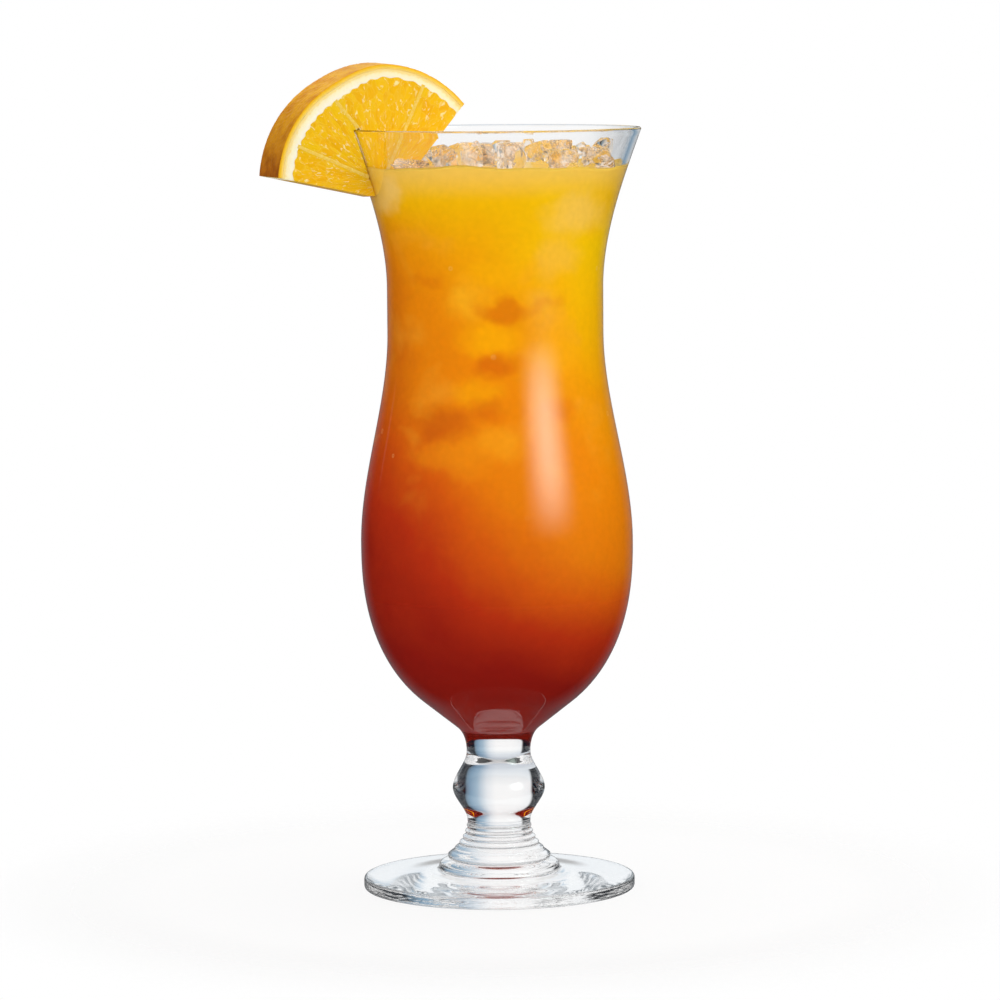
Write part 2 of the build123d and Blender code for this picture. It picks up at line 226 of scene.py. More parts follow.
def node(tree, kind, inputs=None, **settings):
    """Adds one node: inputs, by name or number, are plain values, colours as hex, outputs that feed it, or
    nodes, whose first output in use feeds it. Settings are the node's own properties, and stops are the
    places and colours of a ramp."""
    made = tree.nodes.new("ShaderNode" + kind)
    for name, value in settings.items():
        if name == "stops":
            ramp = made.color_ramp.elements
            for place, code in value[1:-1]:
                ramp.new(place).color = linear(code)
            for end, (place, code) in ((ramp[0], value[0]), (ramp[-1], value[-1])):
                end.position = place
                end.color = linear(code)
        else:
            setattr(made, name, value)
    in_use = {socket.name: socket for socket in made.inputs if socket.enabled}
    for name, value in (inputs or {}).items():
        socket = made.inputs[name] if isinstance(name, int) else in_use[name]
        if isinstance(value, bpy.types.Node):
            value = next(output for output in value.outputs if output.enabled)
        if isinstance(value, bpy.types.NodeSocket):
            tree.links.new(value, socket)
        else:
            socket.default_value = linear(value) if isinstance(value, str) else value
    return made


def new_material(name):
    """An empty material, a function that adds nodes to it, and the place on the piece for its patterns."""
    material = bpy.data.materials.new(name)
    material.use_nodes = True
    material.node_tree.nodes.clear()
    add = partial(node, material.node_tree)
    return material, add, add("TexCoord").outputs["Object"]


# Soda-lime glass, blown and fire-polished: clear, hard gloss, a breath of waviness, and fine level streaks
# where the foot's edge was pressed.
wave_size = 9 * mm
streak_length, streak_width = 6 * mm, 0.75 * mm
streaks_begin, streaks_full = (foot_radius - 1.2) * mm, (foot_radius - 0.4) * mm
glass_material, add, place = new_material("clear_soda_lime_glass")
waves = add("TexNoise", {"Vector": place, "Scale": 1 / wave_size, "Detail": 1.0})
wavy = add("Bump", {"Strength": 0.05, "Distance": 0.1 * mm, "Height": waves})
drawn_out = add("VectorMath", {0: place, 1: (1, 1, streak_length / streak_width)}, operation="MULTIPLY")
streaks = add("TexNoise", {"Vector": drawn_out, "Scale": 1 / streak_length, "Detail": 2.0})
level_place = add("VectorMath", {0: place, 1: (1, 1, 0)}, operation="MULTIPLY")
off_axis = add("VectorMath", {0: level_place}, operation="LENGTH")
near_rim = add("MapRange", {"Value": off_axis, "From Min": streaks_begin, "From Max": streaks_full})
below_stem = add("Math", {
    0: add("SeparateXYZ", {"Vector": place}).outputs["Z"],
    1: foot_height * mm,
}, operation="LESS_THAN")
at_edge = add("Math", {0: near_rim, 1: below_stem}, operation="MULTIPLY")
streaked = add("Math", {0: streaks, 1: at_edge}, operation="MULTIPLY")
pressed = add("Bump", {"Strength": 0.6, "Distance": 0.12 * mm, "Height": streaked, "Normal": wavy})
glass_body = add("BsdfPrincipled", {
    "Base Color": "#FFFFFF",
    "Roughness": 0.0,
    "IOR": 1.5,
    "Transmission Weight": 1.0,
    "Normal": pressed,
})
add("OutputMaterial", {"Surface": glass_body})

outline = glass_outline()
glass = skin("glass", [turned(outline[:, :1], outline[:, 1:])], glass_material)
# Lamp light passes through clear glass and ice, to which Cycles would otherwise give a dark shadow
glass.visible_shadow = False
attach(glass, "glass")
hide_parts("foot", "stem", "bowl")

# Drink: red syrup under orange juice
# Grenadine is poured down the inside and sinks, and the juice floats on it, so the colour runs from deep
# red to yellow. The red reaches higher on the left than on the right, partly from an uneven mix and partly
# as painted shade on the side away from the softbox. Both wet the wall with no gap.
drink_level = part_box("juice_layer")[1].z / mm
syrup_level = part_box("syrup_layer")[1].z / mm
wetting = 0.06
wet_side, wet_rim = side_wall - wetting, rim_wall - wetting
seam = 0.05
meniscus_rise, meniscus_reach = 0.9, 1.3
ripple = 0.4
wave_start = 186.0


def drink_top(angle):
    """Height of the drink's edge on the wall round the glass: the level, the climb at the wall and slow
    waves where lumps of ice press against the glass."""
    waves = np.sin(3 * angle + 0.7) + 0.7 * np.sin(7 * angle + 2.1) + 0.5 * np.sin(13 * angle)
    return drink_level + meniscus_rise + ripple * waves


cup = cup_inside(60, wetting)[::-1]
cup_top = np.array([syrup_level - seam, syrup_level])
cup_share = ((belly_height - cup_top) / (belly_height - floor_height + wetting)) ** cup_fullness
cup_end = (belly_radius - side_wall + wetting) * np.sqrt(1 - cup_share)
syrup_side = np.concatenate([cup[cup[:, 1] < syrup_level - 2 * seam], np.stack([cup_end, cup_top], axis=1)])
wall_height = np.linspace(belly_height, wave_start, 60)[1:]
juice_side = np.concatenate([
    np.stack([cup_end[::-1], cup_top + seam], axis=1),
    cup[cup[:, 1] > syrup_level + 1],
    np.stack([wall_radius(wall_height, wet_side, wet_rim), wall_height], axis=1),
])
rise = np.linspace(0, 1, 12)[1:, None]
edge_height = wave_start + (drink_top(around) - wave_start) * rise
edge_radius = wall_radius(edge_height, wet_side, wet_rim)
from_wall = np.concatenate([[0.01, 0.03, 0.1, 0.2, 0.4, 0.7, 1.1, 1.6], np.linspace(2.4, 36, 26)])[:, None]
top_radius = np.clip(edge_radius[-1] - from_wall, 0.05, None)
climb = np.exp(-from_wall / meniscus_reach)
top_height = drink_level + (drink_top(around) - drink_level) * climb
juice_grid = np.concatenate([
    turned(juice_side[:, :1], juice_side[:, 1:]),
    turned(edge_radius, edge_height),
    turned(top_radius, top_height),
])

# Pulpy orange juice and grenadine: cloudy, with no see-through, a clean run of colour, soft swirls, pale
# places and painted shadows where lumps of ice hang behind the wall, painted shade down the left edge, a
# milky band at the top and a few small bubbles drawn as painted highlight rings.
swirl_size, swirl_reach = 26 * mm, 22 * mm
patch_size = 13 * mm
warp_size, warp_reach = 8 * mm, 9 * mm
bubble_spacing, bubble_choice, bubble_highlight_strength = 8 * mm, 0.62, 0.45
grain_size = 1.6 * mm
least_lean, side_lean = 0.15, 1.05
lean_low, lean_high = 54 * mm, 113 * mm
level_begin, level_end = 172 * mm, 190 * mm
colour_low, colour_high = 30 * mm, 215 * mm
milky_begin, milky_full = 187 * mm, 196 * mm
spot_ahead, spot_depth = -25.0, 30.0
spot_full, spot_end = 0.3, 1.3
# Across, height, half-width, half-height, strength and colour of the pale places and painted shadows at the
# front
ice_shadows = [
    # Painted shade down the left edge of the drink
    (-27.0, 150.0, 7.0, 26.0, 0.40, "#BE4C10"),
    (0.0, 168.0, 10.0, 4.5, 0.50, "#F2B602"),
    (-7.7, 160.8, 5.5, 6.0, 0.75, "#F2B41E"),
    (-1.0, 151.0, 9.0, 5.5, 0.90, "#F2AE02"),
    (-4.0, 136.0, 8.0, 5.5, 0.75, "#EFA604"),
    (-11.0, 119.5, 12.0, 5.0, 0.55, "#EA9610"),
    (1.2, 122.6, 7.0, 5.0, 0.65, "#EEA418"),
    (16.0, 148.0, 6.0, 7.0, 0.60, "#F2B010"),
    (2.3, 158.6, 8.0, 2.8, 0.55, "#CC6006"),
    (0.2, 143.5, 7.0, 3.2, 0.60, "#CC6006"),
    (-2.6, 131.6, 5.0, 4.0, 0.50, "#CA5E08"),
    (-14.0, 128.0, 8.0, 5.0, 0.50, "#B84A0C"),
    (-18.0, 167.0, 4.5, 2.6, 0.30, "#CE6406"),
    (13.0, 160.0, 4.0, 2.4, 0.28, "#D87C06"),
    (17.0, 131.0, 5.5, 4.0, 0.40, "#D87206"),
    (15.9, 172.2, 6.0, 6.5, 0.45, "#F0C050"),
    (22.6, 183.6, 10.0, 6.0, 0.50, "#F4D070"),
    (-28.0, 189.0, 5.0, 6.0, 0.60, "#F2D487"),
]
drink_material, add, place = new_material("orange_juice_over_grenadine")
swirl = add("TexNoise", {"Vector": place, "Scale": 1 / swirl_size, "Detail": 3.0, "Roughness": 0.55})
split = add("SeparateXYZ", {"Vector": place})
# Painted shade in part: the colour's bands lean, so at the same height the left is redder and darker than the
# right
rising = add("MapRange", {
    "Value": split.outputs["Z"],
    "From Min": lean_low,
    "From Max": lean_high,
    "To Min": least_lean,
    "To Max": side_lean,
}, interpolation_type="SMOOTHSTEP")
levelling = add("MapRange", {
    "Value": split.outputs["Z"],
    "From Min": level_end,
    "From Max": level_begin,
    "To Min": least_lean,
}, interpolation_type="SMOOTHSTEP")
lean = add("Math", {0: rising, 1: levelling}, operation="MULTIPLY")
leaning = add("Math", {0: split.outputs["X"], 1: lean, 2: split.outputs["Z"]}, operation="MULTIPLY_ADD")
swirled = add("Math", {0: swirl, 1: swirl_reach, 2: leaning}, operation="MULTIPLY_ADD")
colour_share = add("MapRange", {
    "Value": swirled,
    "From Min": colour_low + swirl_reach / 2,
    "From Max": colour_high + swirl_reach / 2,
})
colour = add("ValToRGB", {"Fac": colour_share}, stops=[
    (0.08, "#BC2812"),
    (0.13, "#9C1B0E"),
    (0.17, "#971A0E"),
    (0.26, "#B8330F"),
    (0.35, "#D05C0C"),
    (0.45, "#DF8008"),
    (0.60, "#E58C05"),
    (0.72, "#EAA203"),
    (0.82, "#EEB902"),
    (0.95, "#F2D004"),
])
up_share = add("MapRange", {"Value": split.outputs["Z"], "From Max": overall_height * mm})
icy_zone = add("ValToRGB", {"Fac": up_share}, stops=[
    (0.48, "#000000"),
    (0.60, "#FFFFFF"),
    (0.86, "#FFFFFF"),
    (0.94, "#404040"),
])
patches = add("TexNoise", {"Vector": place, "Scale": 1 / patch_size, "Detail": 2.0, "Distortion": 0.4})
pale = add("MapRange", {"Value": patches, "From Min": 0.56, "From Max": 0.74, "To Max": 0.45})
pale_share = add("Math", {0: pale, 1: icy_zone}, operation="MULTIPLY")
patched = add("Mix", {"Factor": pale_share, "A": colour, "B": "#EFA92C"}, data_type="RGBA")
warp = add("TexNoise", {"Vector": place, "Scale": 1 / warp_size, "Detail": 2.0})
warped = add("VectorMath", {
    0: warp.outputs["Color"],
    1: (warp_reach, warp_reach, warp_reach),
    2: place,
}, operation="MULTIPLY_ADD")
for across, up, wide, tall, strength, code in ice_shadows:
    from_spot = add("VectorMath", {
        0: warped,
        1: (across * mm + warp_reach / 2, spot_ahead * mm, up * mm + warp_reach / 2),
    }, operation="SUBTRACT")
    in_spots = add("VectorMath", {
        0: from_spot,
        1: (wide * mm, spot_depth * mm, tall * mm),
    }, operation="DIVIDE")
    off_spot = add("VectorMath", {0: in_spots}, operation="LENGTH")
    cover = add("MapRange", {
        "Value": off_spot,
        "From Min": spot_end,
        "From Max": spot_full,
        "To Max": strength,
    }, interpolation_type="SMOOTHSTEP")
    patched = add("Mix", {"Factor": cover, "A": patched, "B": code}, data_type="RGBA")
near_top = add("MapRange", {
    "Value": split.outputs["Z"],
    "From Min": milky_begin,
    "From Max": milky_full,
    "To Max": 0.52,
}, interpolation_type="SMOOTHSTEP")
milky = add("Mix", {"Factor": near_top, "A": patched, "B": "#F7CB74"}, data_type="RGBA")
# Small bubbles drawn as painted highlights: a bright dot and a bright ring on each
beads = add("TexVoronoi", {"Vector": place, "Scale": 1 / bubble_spacing, "Randomness": 1.0})
chosen = add("Math", {0: beads.outputs["Color"], 1: bubble_choice}, operation="GREATER_THAN")
bubble_highlight = add("ValToRGB", {"Fac": beads}, stops=[
    (0.000, "#FFFFFF"),
    (0.030, "#000000"),
    (0.055, "#000000"),
    (0.070, "#FFFFFF"),
    (0.085, "#000000"),
])
for share in (chosen, icy_zone, bubble_highlight_strength):
    bubble_highlight = add("Math", {0: bubble_highlight, 1: share}, operation="MULTIPLY")
with_bubble_highlights = add("Mix", {"Factor": bubble_highlight, "A": milky, "B": "#FFE08A"}, data_type="RGBA")
grain = add("TexNoise", {"Vector": place, "Scale": 1 / grain_size, "Detail": 3.0})
grain_tone = add("ValToRGB", {"Fac": grain}, stops=[(0.3, "#F8F8F8"), (0.7, "#FFFFFF")])
grained = add("Mix", {"Factor": 1.0, "A": with_bubble_highlights, "B": grain_tone}, data_type="RGBA", blend_type="MULTIPLY")
drink_body = add("BsdfPrincipled", {
    "Base Color": grained,
    "Roughness": 0.35,
    "IOR": 1.34,
    "Specular IOR Level": 0.08,
})
add("OutputMaterial", {"Surface": drink_body})

syrup = skin("syrup_layer_drink", [turned(syrup_side[:, :1], syrup_side[:, 1:])], drink_material)
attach(syrup, "glass")
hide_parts("syrup_layer")
juice = skin("juice_layer_drink", [juice_grid], drink_material)
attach(juice, "glass")
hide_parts("juice_layer")

# Crushed ice, afloat and sunk
# Lumps broken from clear block ice, so each is a few flat breaks with worn corners and a cloudy heart, and
# smaller shards are frozen to its top. Twelve float and stand up through the drink, and three hang in it.
lump_rings, lump_around, lump_breaks = 56, 80, 10
shard_rings, shard_around, shard_breaks = 26, 36, 7
shard_count = 6
shard_spot_low, shard_spot_high = (-0.75, -0.75, 0.25), (0.75, 0.75, 0.8)
shard_least, shard_most = 0.3, 0.62
break_near, break_far, break_power = 0.5, 0.9, 60
longest_reach = 1.3
melt_waves, melt_pace, melt_height = 8, 7, 0.006
float_rise = 0.6


def broken(random, rings, count, break_count):
    """Reach of a broken lump along each way out from its middle: the nearest of several flat breaks, as a
    high-power mean, with slight waves of melting, scaled to fill a box of half-width 1 each way."""
    breaks = random.normal(size=(break_count, 3))
    breaks /= np.linalg.norm(breaks, axis=1, keepdims=True)
    depths = random.uniform(break_near, break_far, break_count)
    tilt = np.linspace(0, np.pi, rings + 2)[1:-1, None]
    turn = np.linspace(0, 2 * np.pi, count, endpoint=False)
    flat = np.sin(tilt)
    way = np.stack([flat * np.cos(turn), flat * np.sin(turn), -np.cos(tilt) + 0 * turn], axis=-1)
    nearness = np.clip(way @ breaks.T, 0.001, None) / depths
    reach = np.minimum((nearness**break_power).sum(axis=-1) ** (-1 / break_power), longest_reach)
    melt = way @ (random.normal(size=(3, melt_waves)) * melt_pace) + random.uniform(0, 6, melt_waves)
    reach += melt_height * np.sin(melt).sum(axis=-1)
    offset = way * reach[..., None]
    return offset / np.abs(offset).max(axis=(0, 1))


def ice_lump(seed, low, high, widest):
    """A lump that fills a box in mm, widest at a height, and shards frozen to its top half, cut off flat
    where they would leave the box."""
    random = np.random.default_rng(seed)
    middle = np.array([(low[0] + high[0]) / 2, (low[1] + high[1]) / 2, widest])
    half = np.array([(high[0] - low[0]) / 2, (high[1] - low[1]) / 2, 1.0])
    offset = broken(random, lump_rings, lump_around, lump_breaks)
    offset[..., 2] *= np.where(offset[..., 2] > 0, high[2] - widest, widest - low[2])
    grids = [middle + offset * half]
    half[2] = high[2] - widest
    for _ in range(shard_count):
        spot = middle + random.uniform(shard_spot_low, shard_spot_high) * half
        size = random.uniform(shard_least, shard_most, 3) * half
        grids.append(spot + broken(random, shard_rings, shard_around, shard_breaks) * size)
    return [np.clip(grid, low, high) for grid in grids]


# Water ice: clear breaks, a milky heart of trapped air, wet gloss on top.
cloud_size = 5 * mm
frost_size = 1.2 * mm
ice_material, add, place = new_material("cloudy_water_ice")
cloud = add("TexNoise", {"Vector": place, "Scale": 1 / cloud_size, "Detail": 3.0})
frost = add("TexNoise", {"Vector": place, "Scale": 1 / frost_size, "Detail": 2.0})
clear = add("MapRange", {"Value": cloud, "From Min": 0.50, "From Max": 0.76, "To Min": 1.0, "To Max": 0.7})
gloss = add("MapRange", {"Value": frost, "To Min": 0.0, "To Max": 0.16})
frosted = add("Bump", {"Strength": 0.2, "Distance": 0.25 * mm, "Height": frost})
ice_body = add("BsdfPrincipled", {
    "Base Color": "#FFF8F0",
    "Roughness": gloss,
    "IOR": 1.31,
    "Transmission Weight": clear,
    "Normal": frosted,
})
add("OutputMaterial", {"Surface": ice_body})

lumps = [("ice_float_" + str(number), "ice_" + str(number)) for number in range(1, 13)]
lumps += [("ice_sunk_" + str(number), "glass") for number in range(1, 4)]
for seed, (cad_node, body_name) in enumerate(lumps, start=3):
    low, high = np.array(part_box(cad_node)) / mm
    widest = drink_level + float_rise if body_name != "glass" else (low[2] + high[2]) / 2
    lump = skin("lump_" + cad_node, ice_lump(seed, low, high, widest), ice_material)
    lump.visible_shadow = False
    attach(lump, body_name)
    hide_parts(cad_node)

# Orange slice: pulp, membranes and core
# A thick cut of fresh orange, slit from the point and pushed over the rim. Juice sacs fill each segment
# between thin skins that run from the core to the pith, and the knife has left them wet and open.
# Lengths are in mm and angles of cuts and membranes in degrees round the core, as seen from the front.
slice_turn = math.radians(23.5)
slice_bearing = math.radians(8.2)
slice_inset, slice_drop = 2.2, 14.3
half_thick = 6.0
zest_radius, pith_radius, pulp_radius, core_radius = 32.0, 30.7, 27.8, 2.2
apex = (2.2, -4.6)
left_cut, right_cut = 168.3, 49.5
membrane_angles = (157.0, 131.0, 65.0)
half_membrane = 0.35
top_narrowing, left_narrowing = 0.35, 1.0
left_flat, flat_begin, flat_end = 1.2, 84.0, 122.0
top_thinning = 0.7
scallop_depth, scallop_count, scallop_stray = 0.22, 46, 7
slit_clearance = 0.1
core_height = overall_height - slice_drop
core_distance = wall_radius(core_height, 0, 0) - slice_inset
core_place = np.array([
    -core_distance * math.cos(slice_bearing),
    -core_distance * math.sin(slice_bearing),
    core_height,
])
inward = np.array([math.cos(slice_turn), math.sin(slice_turn), 0])
upward = np.array([0, 0, 1.0])
facing = np.cross(inward, upward)
slit_depth = slice_drop - apex[1]
slit_foot = wall_radius(overall_height - slit_depth, 0, 0)
slit_slope = (rim_radius - slit_foot) / slit_depth / math.cos(slice_turn - slice_bearing)
slit_angle = 90 + math.degrees(math.atan(slit_slope))
never_met = 1e3


def in_slice(across, up, out):
    """Places a point of the slice, given across and up in its plane and out of it, in the frame."""
    return core_place + across[..., None] * inward + up[..., None] * upward + out[..., None] * facing


def slit_side(radius, out):
    """Where one side of the slit crosses the core's level: the wall's circle at that radius, met along
    the slice at a distance out of its plane, carried down the slit's slope from the rim."""
    spot = core_place[:2] + out[..., None] * facing[:2]
    toward = spot @ inward[:2]
    return -toward - np.sqrt(toward**2 - (spot**2).sum(axis=-1) + radius**2) + slice_drop * slit_slope


def outer_slit(out):
    """Side of the slit outside the glass."""
    return slit_side(rim_radius + slit_clearance, out)


def inner_slit(out):
    """Side of the slit inside the glass."""
    return slit_side(rim_radius - rim_wall - slit_clearance, out)


lip_across = float(slit_side(rim_radius - rim_wall / 2, np.array(0.0))) - slice_drop * slit_slope
lip_point = (lip_across, slice_drop)


def to_line(middle, way, start, angle):
    """Distance along each way to a straight line through start, which keeps the piece on its left."""
    left = (-math.sin(math.radians(angle)), math.cos(math.radians(angle)))
    room = (middle[0] - start[0]) * left[0] + (middle[1] - start[1]) * left[1]
    closing = -(way[0] * left[0] + way[1] * left[1])
    return np.where(closing > 1e-6, room / np.maximum(closing, 1e-6), never_met)


def to_circle(middle, way, radius):
    """Distance along each way from inside the fruit's circle of a radius to that circle."""
    toward = middle[0] * way[0] + middle[1] * way[1]
    return -toward + np.sqrt(toward**2 - middle[0] ** 2 - middle[1] ** 2 + radius**2)


def to_core(middle, way):
    """Distance along each way to the core, where it stands in the way."""
    toward = middle[0] * way[0] + middle[1] * way[1]
    inside = toward**2 - middle[0] ** 2 - middle[1] ** 2 + core_radius**2
    meets = (inside > 0) & (toward < 0)
    return np.where(meets, -toward - np.sqrt(np.maximum(inside, 0)), never_met)


def left_share(angle):
    """Eased step from 0 at the top of the fruit to 1 on its flatter left side."""
    return eased(np.clip((np.degrees(angle) - flat_begin) / (flat_end - flat_begin), 0, 1))


def drawn_in(angle, out):
    """How far the fruit falls short of its full round: it narrows evenly from the back of the slice to
    the front, more so at the left than at the top, and it is flatter at the left."""
    left = left_share(angle)
    narrowing = top_narrowing + (left_narrowing - top_narrowing) * left
    return narrowing * (out + half_thick) / (2 * half_thick) + left_flat * left


def to_rind(middle, way, radius, out):
    """Distance along each way to the inside of the rind: the fruit's circle, drawn in as the fruit is,
    with a scallop for each bunch of sacs, and further out at the top, where the pith is thinner."""
    full = to_circle(middle, way, radius)
    angle = np.arctan2(middle[1] + full * way[1], middle[0] + full * way[0]) % (2 * np.pi)
    scallop = scallop_depth * np.sin(scallop_count * angle + np.sin(scallop_stray * angle))
    thinning = top_thinning * (1 - left_share(angle))
    return to_circle(middle, way, radius - drawn_in(angle, out) + scallop + thinning)


def nearest_spot(first, second, seed):
    """Distance to the nearest spot of a grid with one spot strewn in each unit square, and that spot's own
    number from 0 to 1. The strewing takes what is left after the point of a large multiple of a sine."""
    nearest, own = np.full(first.shape, 9.0), np.zeros(first.shape)
    for step in np.ndindex(3, 3):
        square = np.floor(first) + step[0] - 1, np.floor(second) + step[1] - 1
        number = np.sin(square[0] * 12.99 + square[1] * 78.23 + seed) * 43758.5 % 1
        shift = np.sin(square[0] * 39.35 + square[1] * 11.13 + seed) * 24634.6 % 1
        gap = np.hypot(first - square[0] - number, second - square[1] - shift)
        own = np.where(gap < nearest, number, own)
        nearest = np.minimum(nearest, gap)
    return nearest, own


def keep_values(piece, title, values, ends):
    """Keeps one number for each point of a skin as an attribute: its grid's, and those of its two ends."""
    kept = piece.data.attributes.new(title, "FLOAT", "POINT")
    kept.data.foreach_set("value", np.concatenate([values.ravel(), ends]).astype(np.float32))


sac_width, sac_length, sac_middle = 1.2, 3.2, 17.0
sac_swell = 0.1
bunch_reach, bunch_level, bunch_own = 0.8, 0.7, 0.5
edge_round, edge_fade = 0.15, 10
face_steps, corner_steps, around_steps = 44, 5, 144


def slab(name, middle, edge_of, material, relief, seed):
    """Slab of the slice's thickness round a middle point, with the outline that edge_of gives for each
    way and depth. Rings run out over the back face, round the edge and in over the front face, and the
    faces swell by relief over each bunch of two sacs, level at the edge. The attributes about and along
    count sacs round the fruit and out from its core."""
    turn = np.linspace(0, 2 * np.pi, around_steps, endpoint=False)
    way = (np.cos(turn), np.sin(turn))
    face = np.linspace(0.02, 1, face_steps)
    corner = np.linspace(0, np.pi / 2, corner_steps + 1)[1:]
    share = np.concatenate([face, np.ones(2 * corner_steps), face[::-1]])[:, None]
    spread = np.concatenate([0 * face, np.sin(corner), np.sin(corner[::-1]), 0 * face])[:, None]
    front = half_thick - edge_round + edge_round * np.concatenate([0 * face + 1, np.cos(corner)])
    depth = np.concatenate([-front, front[::-1]])[:, None]
    reach = share * (edge_of(middle, way, depth) - edge_round) + edge_round * spread
    across = middle[0] + reach * way[0]
    up = middle[1] + reach * way[1]
    about = np.arctan2(up, across) * sac_middle / sac_width
    along = np.hypot(across, up) / sac_length
    nearest, own = nearest_spot(about / 2, along / 2, seed)
    dome = 1 - np.clip(nearest / bunch_reach, 0, 1) ** 2 - bunch_level + bunch_own * own
    fade = (1 - share**edge_fade) * np.sign(depth)
    piece = skin(name, [in_slice(across, up, depth + fade * relief * dome)], material)
    for title, values in (("about", about), ("along", along)):
        keep_values(piece, title, values, values[[0, -1]].mean(axis=1))
    return piece


corner_power, corner_make_up, usual_reach = 50.0, 1.004, 10


def least(*distances):
    """Least of several distances as a high-power mean, which rounds the corners between them."""
    total = sum((distance / usual_reach) ** -corner_power for distance in distances)
    return corner_make_up * total ** (-1 / corner_power) * usual_reach


def beside(angle, side, start=(0, 0)):
    """A point half a membrane's thickness to one side of a line through start."""
    way = math.radians(angle)
    return (start[0] - side * half_membrane * math.sin(way), start[1] + side * half_membrane * math.cos(way))


def segment_1_edge(middle, way, out):
    """Lowest segment: over the left knife cut, under the first membrane, outside the slit."""
    return least(
        to_rind(middle, way, pulp_radius, out),
        to_line(middle, way, apex, left_cut + 180),
        to_line(middle, way, beside(membrane_angles[0], 1), membrane_angles[0]),
        to_line(middle, way, (outer_slit(out), 0), slit_angle),
    )


def segment_2_edge(middle, way, out):
    """Second segment: between the first two membranes, outside the slit, which ends just over the rim."""
    to_slit = to_line(middle, way, (outer_slit(out), 0), slit_angle)
    over_rim = middle[1] + to_slit * way[1] > slice_drop + slit_clearance
    return least(
        to_rind(middle, way, pulp_radius, out),
        to_line(middle, way, beside(membrane_angles[0], -1), membrane_angles[0] + 180),
        to_line(middle, way, beside(membrane_angles[1], 1, lip_point), membrane_angles[1]),
        np.where(over_rim, never_met, to_slit),
    )


def segment_3_edge(middle, way, out):
    """Widest segment: between the second and third membranes, over the rim and inside the slit."""
    membrane_side = beside(membrane_angles[1], -1, lip_point)
    past_membrane = to_line(middle, way, membrane_side, membrane_angles[1] + 180)
    under_rim = to_line(middle, way, lip_point, 0)
    past_slit = to_line(middle, way, (inner_slit(out), 0), slit_angle + 180)
    return least(
        to_rind(middle, way, pulp_radius, out),
        to_line(middle, way, beside(membrane_angles[2], 1), membrane_angles[2]),
        np.maximum(np.minimum(under_rim, past_membrane), past_slit),
        to_core(middle, way),
    )


def segment_4_edge(middle, way, out):
    """Last segment: between the third membrane and the right knife cut, inside the slit."""
    return least(
        to_rind(middle, way, pulp_radius, out),
        to_line(middle, way, beside(membrane_angles[2], -1), membrane_angles[2] + 180),
        to_line(middle, way, apex, right_cut),
        to_line(middle, way, apex, left_cut + 180),
        to_line(middle, way, (inner_slit(out), 0), slit_angle + 180),
        to_core(middle, way),
    )


def core_edge(middle, way, out):
    """The core's round, cut by the slit."""
    past_slit = to_line(middle, way, (inner_slit(out), 0), slit_angle + 180)
    return least(to_circle(middle, way, core_radius), past_slit)


# Orange pulp, freshly cut: sacs of juice that differ a little in colour, pale where their walls crowd,
# under a wet film that catches the lamps, with painted glints as pale flecks. Its sac patterns count in sacs,
# by the slab's attributes.
fibre_size = 0.7 * mm
sac_stray, sac_height, fibre_height = 1.6, 0.8, 0.5
pulp_material, add, place = new_material("wet_orange_pulp")
fibres = add("TexNoise", {"Vector": place, "Scale": 1 / fibre_size, "Detail": 3.0, "Roughness": 0.6})
sac_rows = add("CombineXYZ", {
    0: add("Attribute", attribute_name="about").outputs["Fac"],
    1: add("Attribute", attribute_name="along").outputs["Fac"],
})
stray = add("TexNoise", {"Vector": sac_rows, "Scale": 0.6, "Detail": 2.0})
sacs = add("VectorMath", {
    0: stray.outputs["Color"],
    1: (sac_stray, sac_stray, 0.0),
    2: sac_rows,
}, operation="MULTIPLY_ADD")
each_sac = add("TexVoronoi", {"Vector": sacs, "Scale": 1.0})
between = add("TexVoronoi", {"Vector": sacs, "Scale": 1.0}, feature="DISTANCE_TO_EDGE")
tone = add("ValToRGB", {"Fac": each_sac.outputs["Color"]}, stops=[
    (0.0, "#EFB004"),
    (0.5, "#F2BA06"),
    (1.0, "#F5C60E"),
])
crowd = add("MapRange", {"Value": between, "From Min": 0.12, "From Max": 0.0, "To Max": 0.5})
walled = add("Mix", {"Factor": crowd, "A": tone, "B": "#F6C936"}, data_type="RGBA")
# Painted glints: pale flecks that stand for light caught on the wet sacs
glints = add("TexNoise", {"Vector": sacs, "Scale": 1.7, "Detail": 2.0, "Distortion": 1.0})
painted_glint = add("MapRange", {"Value": glints, "From Min": 0.60, "From Max": 0.69, "To Max": 0.75})
with_painted_glints = add("Mix", {"Factor": painted_glint, "A": walled, "B": "#FFECAE"}, data_type="RGBA")
domed = add("Math", {0: between, 1: sac_height, 2: glints}, operation="MULTIPLY_ADD")
fibrous = add("Math", {0: fibres, 1: fibre_height, 2: domed}, operation="MULTIPLY_ADD")
cut_open = add("Bump", {"Strength": 0.4, "Distance": 0.3 * mm, "Height": fibrous})
pulp_body = add("BsdfPrincipled", {
    "Base Color": with_painted_glints,
    "Roughness": 0.25,
    "IOR": 1.36,
    "Subsurface Weight": 0.2,
    "Subsurface Radius": (1.0, 0.55, 0.12),
    "Subsurface Scale": 2.5 * mm,
    "Specular IOR Level": 0.12,
    "Normal": cut_open,
})
add("OutputMaterial", {"Surface": pulp_body})

segments = [
    ("slice_segment_1", (-16.0, 2.3), segment_1_edge),
    ("slice_segment_2", (-14.0, 15.0), segment_2_edge),
    ("slice_segment_3", (0.0, 18.5), segment_3_edge),
    ("slice_segment_4", (9.5, 10.0), segment_4_edge),
]
for number, (cad_node, middle, edge_of) in enumerate(segments):
    segment = slab("pulp_" + cad_node, middle, edge_of, pulp_material, sac_swell, seed=number * 17.0)
    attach(segment, "orange_slice")
    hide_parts(cad_node)

